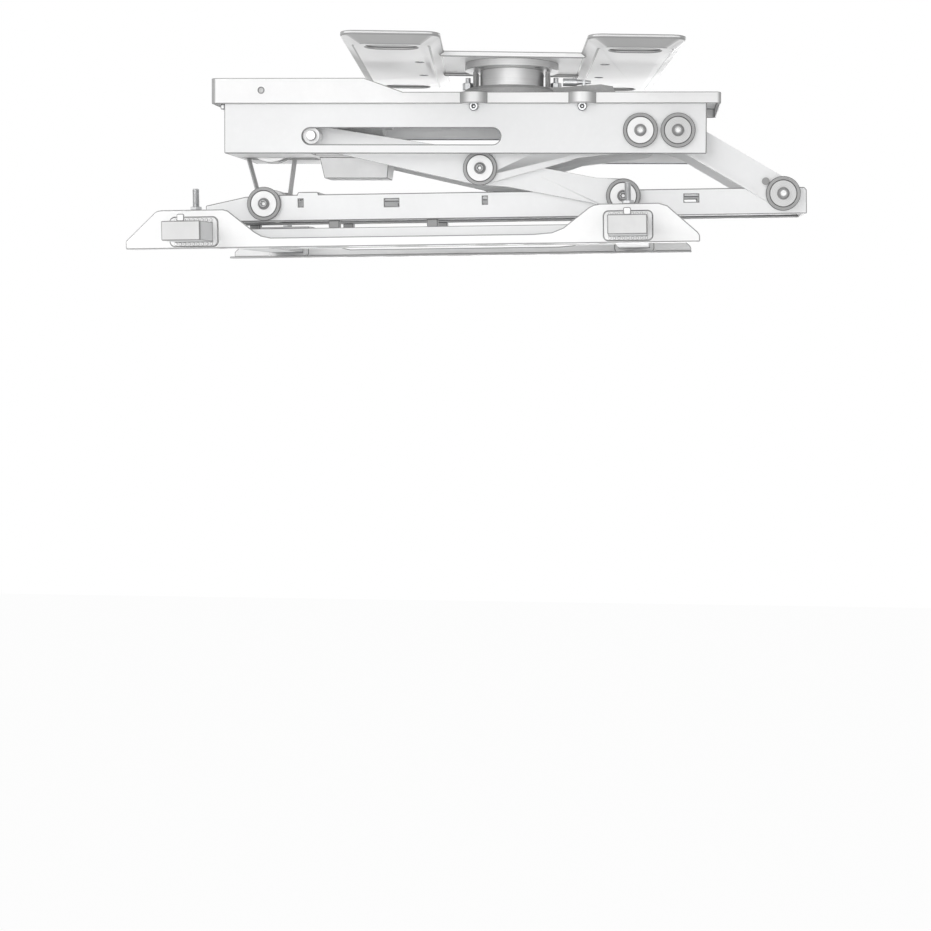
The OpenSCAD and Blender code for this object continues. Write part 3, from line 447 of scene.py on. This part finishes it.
def plated_steel(name, shade, gloss=0.34):
    """Zinc plating: small pale crystals, a faint cloud and rubbed spots."""
    material, wires = new_finish(name)
    place = wires.node("TexCoord", out="Object")
    grain = wires.node("TexVoronoi", sockets={"Vector": place, "Scale": 900})
    cloud = wires.node("TexNoise", sockets={"Vector": place, "Scale": 120, "Detail": 4, "Roughness": 0.6})
    crystals = cloud.step(0.42, 0.7) * 0.7 + grain * 0.3
    bluish, brightest = -0.012, 0.97
    dull, bright = tone(shade * 0.86, bluish), tone(min(shade * 1.08, brightest), bluish)
    close_finish(
        wires,
        {
            "Base Color": crystals.blend(dull, bright),
            "Metallic": 0.9,
            "Roughness": gloss + cloud * 0.16,
            "Normal": bumped(wires, grain, 0.00003, 0.3),
        },
    )
    return material


screw_zinc = plated_steel("screw_zinc", 0.5)
# A dark copy of the zinc, painted on eased edges of screws and nuts as painted shade.
screw_edge = plated_steel("screw_edge", 0.14)
for name, node in (("flange_bolt_heads", "ring_bolts"), ("spring_clip", "spindle_clip")):
    eased(name, node, "ceiling_bracket", 0.0005, screw_zinc, screw_edge)


# Hub base with its bolts and lock screw
# A cast disc with a tongue, bolted on the chassis, in which the spindle turns.
# It is left dark as cast and painted thinly, so its skin stays grainy.
def cast_skin(name, shade, grain=420, gloss=0.55):
    """Painted casting: coarse sand grain, small pits and rubbed high spots."""
    material, wires = new_finish(name)
    place = wires.node("TexCoord", out="Object")
    sand = wires.node("TexNoise", sockets={"Vector": place, "Scale": grain, "Detail": 5, "Roughness": 0.65})
    pits = wires.node("TexVoronoi", sockets={"Vector": place, "Scale": grain * 0.6})
    cloud = wires.node("TexNoise", sockets={"Vector": place, "Scale": 24, "Detail": 3, "Roughness": 0.6})
    wear_and_highlight = sand.step(0.5, 0.72) * 0.5 + cloud.step(0.4, 0.7) * 0.5
    close_finish(
        wires,
        {
            "Base Color": wear_and_highlight.blend(tone(shade * 0.86), tone(shade * 1.2)),
            "Metallic": 0.1,
            "Roughness": gloss + sand * 0.16 - pits * 0.06,
            "Normal": bumped(wires, sand * 0.7 + pits * 0.3, 0.00014, 0.6),
        },
    )
    return material


hub_paint = cast_skin("hub_paint", 0.41)
hub_edge = cast_skin("hub_edge", 0.42)
hub_base = eased("hub_casting", "hub_base", "chassis", 0.0008, hub_paint, hub_edge)
nut_zinc = plated_steel("nut_zinc", 0.8)
for name, node in (("hub_nuts", "hub_bolts"), ("lock_screw", "swivel_lock_screw")):
    eased(name, node, "chassis", 0.0006, nut_zinc, screw_edge)


# Top cover and its screws
# A folded sheet lid with a raised left part and a skirt, and two half round bosses each side.
# Powder coated white, held by button screws through the bosses and the skirt.
def boss_painted_shade(place, facing):
    """Painted shade on the flanks of the half round bosses, and at the tight bend at each end of the skirt.
    """
    sideways, upward = facing[0].size(), facing[2].size()
    flanks = sideways.step(0.12, 0.8) * (1 - upward.step(0.1, 0.3)) * (1 - sideways.step(0.985, 0.999))
    left_bend = 1 - place[0].step(-0.3315, -0.3298)
    right_bend = place[0].step(0.2385, 0.2398) * 0.5
    bends = left_bend.largest(right_bend) * (1 - sideways.step(0.9, 0.97))
    return flanks.largest(bends)


# The cover's white is painted darker on the bosses' flanks and at the skirt's end bends: painted shade.
cover_coat = powder_coat("cover_coat", 0.86, painted_shading=boss_painted_shade, painted_shading_tone=0.34)
top_cover = eased("cover_pressing", "top_cover", "chassis", 0.0009, cover_coat, white_edge, clamp=False)
eased("cover_screw_heads", "cover_screws", "chassis", 0.0008, nut_zinc, screw_edge)


def tube_faces(first, rings, sides):
    """The faces of a closed tube whose rings of points follow each other from the first point."""
    faces = []
    for ring in range(rings - 1):
        for side in range(sides):
            low = first + ring * sides + side
            after = first + ring * sides + (side + 1) % sides
            faces.append((low, after, after + sides, low + sides))
    last = first + (rings - 1) * sides
    faces.append(tuple(first + side for side in reversed(range(sides))))
    faces.append(tuple(last + side for side in range(sides)))
    return faces


def turned(name, profile, place, axis, body, finish):
    """A turned or moulded round piece from its profile of radius and height along the axis."""
    sides = 32
    axis = Vector(axis).normalized()
    across = axis.orthogonal().normalized()
    points = []
    for radius, height in profile:
        for side in range(sides):
            angle = 2 * math.pi * side / sides
            arm = across * math.cos(angle) + axis.cross(across) * math.sin(angle)
            points.append(Vector(place) + arm * radius + axis * height)
    piece = new_piece(name, points, tube_faces(0, len(profile), sides))
    piece.data.materials.append(finish)
    smooth(piece)
    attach(piece, body)
    return piece


# A button plug with a hollow face fills the hole near the cover's left end on each side.
plug_shade = powder_coat("plug_shade", 0.6, gloss=0.3)
plug_profile = (
    (0.0029, -0.0030),
    (0.0031, -0.0026),
    (0.0031, -0.0008),
    (0.0027, -0.0002),
    (0.0021, -0.0002),
    (0.0018, -0.0009),
    (0.0006, -0.0009),
)
plug_x, skirt_y, plug_z = -0.278, 0.0728, -0.045
for side, out in (("near", -1), ("far", 1)):
    place = (plug_x, out * skirt_y, plug_z)
    plug = turned("cover_plug_" + side, plug_profile, place, (0, out, 0), "chassis", plug_shade)


# Chassis channel and its bottom plate
# A deep channel of 2.5 mm sheet, open below, slotted on both sides for the slider arm's pin.
# The bottom plate closes its left half round the hatch through which the strap drops.
def channel_painted_light(place, facing):
    """Painted light: the inner side of the channel's walls and roof is painted paler, where it lies in
    shade.
    """
    between_walls = 1 - place[1].size().step(0.0685, 0.0695)
    under_roof = 1 - place[2].step(-0.0525, -0.0515)
    return between_walls * under_roof


# The channel's grey is painted almost white inside, as painted light in the shade there.
channel_coat = powder_coat("channel_coat", 0.8, -0.004, painted_shading=channel_painted_light, painted_shading_tone=0.98)
# A dark copy of the grey coat, painted on eased edges as painted shade.
grey_edge = powder_coat("grey_edge", 0.24, -0.004, gloss=0.36)
chassis = eased(
    "chassis_pressing", "chassis_channel", "chassis", 0.0011, channel_coat, grey_edge, clamp=False
)
white_coat = powder_coat("white_coat", 0.86)
eased("floor_sheet", "bottom_plate", "chassis", 0.0006, white_coat, white_edge)


# Control box
# A shallow tray of grey plastic under the bottom plate, which holds the winch's circuit board.
# It is moulded with a fine spark texture, and drafted so that it leaves the mould.
def moulded(name, shade, grain=700, gloss=0.5):
    """Injection moulded plastic with an even spark texture."""
    material, wires = new_finish(name)
    place = wires.node("TexCoord", out="Object")
    spark = wires.node("TexNoise", sockets={"Vector": place, "Scale": grain, "Detail": 3, "Roughness": 0.6})
    cloud = wires.node("TexNoise", sockets={"Vector": place, "Scale": 30, "Detail": 3, "Roughness": 0.55})
    flow = cloud.step(0.35, 0.7)
    palest = 0.97
    close_finish(
        wires,
        {
            "Base Color": flow.blend(tone(shade * 0.95), tone(min(shade * 1.05, palest))),
            "Roughness": gloss + spark * 0.12 + flow * 0.04,
            "Specular IOR Level": 0.4,
            "Normal": bumped(wires, spark, 0.00006, 0.6),
        },
    )
    return material


box_plastic = moulded("box_plastic", 0.92)
# A dark copy of the box's plastic, painted on its eased edges as painted shade.
box_edge = moulded("box_edge", 0.3)
control_box = eased("control_tray", "control_box", "chassis", 0.0014, box_plastic, box_edge)

# Winch
# A tube motor with a worm gearbox turns the drum, all hung inside the channel's left end.
# The drum runs in flanged bearings, and the strap's dead end goes round the anchor pin.
motor_paint = cast_skin("motor_paint", 0.95, grain=600, gloss=0.45)
for name, node in (("motor_can", "winch_motor"), ("gear_housing", "winch_gearbox")):
    eased(name, node, "chassis", 0.0012, motor_paint)
dark_bush = moulded("dark_bush", 0.34, grain=500, gloss=0.46)
# A darker copy of the bush plastic, painted on eased edges as painted shade.
bush_edge = moulded("bush_edge", 0.1, grain=500, gloss=0.42)
eased("bearing_flanges", "drum_bearings", "chassis", 0.0006, dark_bush, bush_edge)
bright_steel = turned_steel("bright_steel", 0.72, 1100, axis="Y")
# A darker copy of the bright steel, painted on eased edges as painted shade.
bright_edge = turned_steel("bright_edge", 0.42, 800, axis="Y")
eased("anchor_rod", "strap_anchor_pin", "chassis", 0.0004, bright_steel, bright_edge)
eased("drum_turning", "winch_drum", "drum", 0.0005, bright_steel, bright_edge)

# Pivots
# Turned pins with a dark collar, a white washer sunk in it and a socket screw at each end.
# The same set is used at every joint of the linkage.
joints = {joint["name"]: Vector(joint["pos_m"]) for joint in frame["joints"] if "pos_m" in joint}
pivots = [joints[name] for name in ("fold", "front_pivot", "boom_pivot", "rear_pivot", "pulley_spin")]
rear_link_on_channel = Vector((0.193, 0, -0.090))
pivots.append(rear_link_on_channel)


def reach_from_pivot(place):
    """The distance to the nearest pivot's axis, which runs along Y."""
    x, _, z = place.parts()
    nearest = None
    for pivot in pivots:
        across, up = x - pivot.x, z - pivot.z
        reach = across.math("SQRT", across * across + up * up)
        nearest = nearest.smallest(reach) if nearest else reach
    return nearest


def washer_nylon(name, shade, worn_shade):
    """Nylon washers with the fine rings of their mould. Those of the two rear pivots have gone grey."""
    material, wires = new_finish(name)
    place = wires.node("TexCoord", out="Object")
    spark = wires.node("TexNoise", sockets={"Vector": place, "Scale": 500, "Detail": 3, "Roughness": 0.6})
    reach = reach_from_pivot(place)
    radians_per_metre = 3900
    rings = reach.math("SINE", reach * radians_per_metre) * 0.5 + 0.5
    rear_from, rear_to, palest = 0.171, 0.173, 0.97
    worn = place.parts()[0].step(rear_from, rear_to)
    pale = rings.blend(tone(shade * 0.97), tone(min(shade * 1.03, palest)))
    grey = (rings * 0.75 + spark * 0.25).blend(tone(worn_shade * 0.86), tone(worn_shade * 1.12))
    close_finish(
        wires,
        {
            "Base Color": worn.blend(pale, grey),
            "Roughness": 0.42 + spark * 0.12,
            "Specular IOR Level": 0.4,
            "Normal": bumped(wires, rings, 0.0001, 0.5),
        },
    )
    return material


def socket_head(name, shade, highlight_shade):
    """A black oxide screw head with a pale painted highlight at its middle."""
    material, wires = new_finish(name)
    place = wires.node("TexCoord", out="Object")
    grain = wires.node("TexNoise", sockets={"Vector": place, "Scale": 900, "Detail": 3, "Roughness": 0.6})
    highlight_r, highlight_rim_r = 0.0024, 0.0038
    # Round each pivot's axis the head is painted pale: a painted highlight.
    wear_and_highlight = 1 - reach_from_pivot(place).step(highlight_r, highlight_rim_r)
    close_finish(
        wires,
        {
            "Base Color": (wear_and_highlight * (0.85 + grain * 0.3)).blend(tone(shade), tone(highlight_shade)),
            "Metallic": 0.35,
            "Roughness": 0.4 + grain * 0.15,
            "Normal": bumped(wires, grain, 0.00004, 0.4),
        },
    )
    return material


ringed_nylon = washer_nylon("ringed_nylon", 0.86, worn_shade=0.62)
# A grey copy of the pale nylon, painted on eased edges as painted shade.
nylon_edge = moulded("nylon_edge", 0.5, grain=500, gloss=0.4)
# The heads are dark, with a pale painted highlight at their middles.
head_oxide = socket_head("head_oxide", 0.26, highlight_shade=0.9)
pivot_sets = (
    ("fixed_pivot", "chassis", "fixed_pivot_collars", "fixed_pivot_washers", "fixed_pivot_screws"),
    ("front_link", "front_link", "front_link_collars", "front_link_washers", "front_link_screws"),
    ("arm", "slider_arm", "arm_collars", "arm_washers", "arm_screws"),
    ("rear_link", "rear_link", "rear_link_collars", "rear_link_washers", "rear_link_screws"),
    ("pulley", "boom", "pulley_bushes", "pulley_washers", None),
)
for stem, body, collars, washers, screws in pivot_sets:
    eased(stem + "_collar_turnings", collars, body, 0.0006, dark_bush, bush_edge)
    eased(stem + "_washer_discs", washers, body, 0.0004, ringed_nylon, nylon_edge)
    if screws:
        eased(stem + "_screw_heads", screws, body, 0.0006, head_oxide, screw_edge)
pins = (
    ("fixed_pivot_pins", "chassis"),
    ("front_link_pins", "front_link"),
    ("slot_pin", "slider_arm"),
    ("arm_axle", "slider_arm"),
    ("rear_axle", "rear_link"),
    ("rear_link_pins", "rear_link"),
    ("pulley_axle", "boom"),
)
for node, body in pins:
    finishes = (head_oxide, screw_edge) if node == "pulley_axle" else (bright_steel, bright_edge)
    eased(node + "_turnings", node, body, 0.0005, *finishes)
white_nylon = moulded("white_nylon", 0.86, grain=500, gloss=0.42)
eased("slot_rollers", "slot_spacers", "slider_arm", 0.0006, white_nylon, nylon_edge)

# Links
# Laser cut from 4 mm steel plate and powder coated, three pairs inside the channel's walls.
# The front link swings the slider arm, and the rear link holds the boom's right end.
links = (
    ("front_link_near", "front_link"),
    ("front_link_far", "front_link"),
    ("slider_arm_near", "slider_arm"),
    ("slider_arm_far", "slider_arm"),
    ("rear_link_near", "rear_link"),
    ("rear_link_far", "rear_link"),
)
link_coat = powder_coat("link_coat", 0.78, -0.004)
# A dark copy of the link coat, painted on eased edges as painted shade.
link_edge = powder_coat("link_edge", 0.22, -0.004, gloss=0.36)
for node, body in links:
    eased(node + "_plate", node, body, 0.0012, link_coat, link_edge)


# Boom
# A long channel folded from 2.5 mm sheet, open along its belly, with slim windows in its sides.
# The web's opening over the pulley runs on a little as a notch, where the strap lies when the boom is down.
def solids_of(node):
    """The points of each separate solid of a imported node, from left to right and front to back."""
    shape = bmesh.new()
    shape.from_mesh(frame["nodes"][node].data)
    bmesh.ops.remove_doubles(shape, verts=shape.verts, dist=joined_within)
    shape.verts.ensure_lookup_table()
    taken, found = [False] * len(shape.verts), []
    for start in shape.verts:
        if taken[start.index]:
            continue
        solid, waiting = [], [start]
        taken[start.index] = True
        while waiting:
            corner = waiting.pop()
            solid.append(corner.co.copy())
            for edge in corner.link_edges:
                other = edge.other_vert(corner)
                if not taken[other.index]:
                    taken[other.index] = True
                    waiting.append(other)
        found.append(solid)
    shape.free()
    return sorted(found, key=lambda solid: (round(min(p.x for p in solid), 2), min(p.y for p in solid)))


def middle(points):
    """The middle of the box round some points."""
    return Vector([(min(p[i] for p in points) + max(p[i] for p in points)) / 2 for i in range(3)])


# The boom is a degree or so off level, so its directions come from two of the caps on the rails under it.
caps = solids_of("rail_end_caps")
boom_x = (middle(caps[2]) - middle(caps[0])).normalized()
boom_z = boom_x.cross(Vector((0, 1, 0))).normalized()
grey_coat = powder_coat("grey_coat", 0.8, -0.004)
boom = merged_copy("boom_pressing", "boom")
notch_long, notch_wide, notch_corner = 0.034, 0.022, 0.004
notch_from_pulley, cutter_high, cutter_edge = 0.0265, 0.022, 0.0001
notch_shape = rounded_outline(notch_long, notch_wide, notch_corner)
notch_at = joints["pulley_spin"] + boom_x * notch_from_pulley
cutter = extruded(
    "notch_cutter", notch_shape, [notch_at], boom_x, (0, 1, 0), cutter_high, "boom", grey_coat, cutter_edge
)
cut = boom.modifiers.new("notch", "BOOLEAN")
cut.object = cutter
cut.operation = "DIFFERENCE"
cut.solver = "EXACT"
notched = bpy.data.meshes.new_from_object(boom.evaluated_get(bpy.context.evaluated_depsgraph_get()))
boom.modifiers.clear()
boom.data = notched
bpy.data.objects.remove(cutter)
boom.data.materials.clear()
ease_edges(boom, 0.0011, grey_coat, grey_edge, clamp=False)
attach(boom, "boom")
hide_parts("boom")

# Frame under the boom
# Two cross rails of 40 x 20 mm tube with capped ends, joined by two spars on plastic spacers.
# A small square lug stands on each cap, with its foot a little way into it.
rail_coat = powder_coat("rail_coat", 0.6, -0.006)
# A dark copy of the rail coat, painted on eased edges as painted shade.
rail_edge = powder_coat("rail_edge", 0.3, -0.006)
eased("spar_tubes", "frame_spars", "boom", 0.0007, grey_coat, grey_edge)
eased("cross_tubes", "cross_rails", "boom", 0.0009, rail_coat, rail_edge)
cap_plastic = moulded("cap_plastic", 0.66, grain=900, gloss=0.55)
# A dark copy of the cap plastic, painted on eased edges as painted shade.
cap_edge = moulded("cap_edge", 0.24, grain=900)
eased("tube_caps", "rail_end_caps", "boom", 0.0012, cap_plastic, cap_edge)
eased("spacer_blocks", "rail_spacers", "boom", 0.0006, dark_bush, bush_edge)

cap_half_height, cap_inner_y = 0.010, 0.2563
lug_wide, lug_high, lug_corner = 0.0078, 0.0076, 0.0018
lug_thick, lug_foot, lug_edge = 0.0022, 0.0006, 0.0009
lug_shape = rounded_outline(lug_wide, lug_high, lug_corner)
for side, out, ends in (("near", -1, caps[0::2]), ("far", 1, caps[1::2])):
    lug_places = []
    for cap in ends:
        lug_at = middle(cap) + boom_z * (cap_half_height + lug_high / 2 - lug_foot)
        lug_places.append((lug_at.x, out * cap_inner_y, lug_at.z))
    lugs = extruded(
        "cap_lugs_" + side,
        lug_shape,
        lug_places,
        -out * boom_x,
        boom_z,
        lug_thick,
        "boom",
        white_nylon,
        lug_edge,
        cap_edge,
    )


# Lifting strap
# Flat grey webbing: down from the drum, round the pulley on the boom and back to the anchor pin.
# The strands grow as the boom goes down; here their mesh is left in place on no body.
def woven(name, shade):
    """Polyester webbing: warp threads side by side over its width, and finer picks across them."""
    material, wires = new_finish(name)
    place = wires.node("TexCoord", out="Object")
    x, y, z = place.parts()
    warp_rate, pick_rate, pick_slant = 4200, 5000, 2600
    warp = y.math("SINE", y * warp_rate) * 0.5 + 0.5
    pick = y.math("SINE", z * pick_rate + x * pick_slant) * 0.5 + 0.5
    fuzz = wires.node("TexNoise", sockets={"Vector": place, "Scale": 700, "Detail": 3, "Roughness": 0.7})
    weave = warp * 0.5 + pick * 0.3 + fuzz * 0.2
    close_finish(
        wires,
        {
            "Base Color": weave.step(0.2, 0.8).blend(tone(shade * 0.9), tone(shade * 1.08)),
            "Roughness": 0.72 + fuzz * 0.15,
            "Specular IOR Level": 0.3,
            "Normal": bumped(wires, weave, 0.0001, 0.3),
        },
    )
    return material


webbing = woven("webbing", 0.5)
eased("strap_winding", "wound_strap", "drum", 0.0004, webbing)
strands = merged_copy("strap_runs", "strap_strands")
strands.data.materials.append(webbing)
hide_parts("strap_strands")
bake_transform(strands)
eased("strap_turn", "strap_bight", "strap_bottom", 0.0003, webbing)
eased("pulley_wheel", "strap_pulley", "pulley", 0.0006, white_nylon, nylon_edge)

# Television brackets
# Long angle brackets of 2.5 mm sheet that hook over the cross rails and slide along them.
# A clamp on each rail is drawn tight by a threaded stud.
clamp_plastic = moulded("clamp_plastic", 0.84, grain=800, gloss=0.45)
# A dark copy of the clamp plastic, painted on eased edges as painted shade.
clamp_edge = moulded("clamp_edge", 0.26, grain=800, gloss=0.45)
stud_zinc = plated_steel("stud_zinc", 0.5)


def stud(name, foot, up, body, finish):
    """A clamp stud: a rolled thread with a hexagon nut on it, chamfered at both ends."""
    root, crest, pitch, length = 0.0030, 0.0036, 0.00125, 0.036
    sides, rows_per_turn, chamfer_rows, end_cut = 20, 4, 3, 0.0004
    rows = round(length / pitch * rows_per_turn)
    side_way = up.orthogonal().normalized()
    other_way = up.cross(side_way)
    points = []
    for row in range(rows + 1):
        full = min(1, row / chamfer_rows, (rows - row) / chamfer_rows)
        for side in range(sides):
            angle = 2 * math.pi * side / sides
            wave = abs((row / rows_per_turn - side / sides) % 1 * 2 - 1)
            radius = root - end_cut * (1 - full) + (crest - root) * wave * full
            arm = side_way * math.cos(angle) + other_way * math.sin(angle)
            points.append(foot + up * (length * row / rows) + arm * radius)
    faces = tube_faces(0, rows + 1, sides)
    nut_low, nut_high, nut_r, bevel, end_share = 0.0135, 0.0170, 0.0065, 0.0005, 0.86
    nut_rings = ((nut_low, end_share), (nut_low + bevel, 1), (nut_high - bevel, 1), (nut_high, end_share))
    faces += tube_faces(len(points), len(nut_rings), 6)
    for height, share in nut_rings:
        for corner in range(6):
            angle = corner * math.pi / 3
            arm = side_way * math.cos(angle) + other_way * math.sin(angle)
            points.append(foot + up * height + arm * nut_r * share)
    piece = new_piece(name, points, faces)
    piece.data.materials.append(finish)
    smooth(piece, 50)
    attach(piece, body)
    return piece


foot_slice = 0.0002
rib_wide, rib_high, rib_corner = 0.0028, 0.0034, 0.0012
rib_thick, rib_edge = 0.0010, 0.0005
rib_rows, rib_pitch, clamp_face_y = (-0.0127, 0.0122), 0.0047, 0.2135
rib_shape = rounded_outline(rib_wide, rib_high, rib_corner, steps=3)
for side, out in (("near", -1), ("far", 1)):
    body = side + "_bracket"
    bracket = eased(
        side + "_bracket_pressing", "tv_bracket_" + side, body, 0.0011, white_coat, white_edge, clamp=False
    )
    blocks = eased(side + "_clamp_blocks", side + "_clamps", body, 0.0006, clamp_plastic, clamp_edge)
    for number, rod in enumerate(solids_of(side + "_clamp_studs"), 1):
        lowest = min(p.dot(boom_z) for p in rod)
        foot = middle([p for p in rod if p.dot(boom_z) < lowest + foot_slice])
        piece = stud("%s_stud_%d" % (side, number), foot, boom_z, body, stud_zinc)
        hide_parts(side + "_clamp_studs")
    ribs = []
    for block in solids_of(side + "_clamps"):
        centre = middle(block)
        for height in rib_rows:
            for step in range(-4, 5):
                rib = centre + boom_x * (step * rib_pitch) + boom_z * height
                ribs.append((rib.x, out * clamp_face_y, rib.z))
    teeth = extruded(
        side + "_clamp_ribs",
        rib_shape,
        ribs,
        -out * boom_x,
        boom_z,
        rib_thick,
        body,
        clamp_plastic,
        rib_edge,
        clamp_edge,
    )
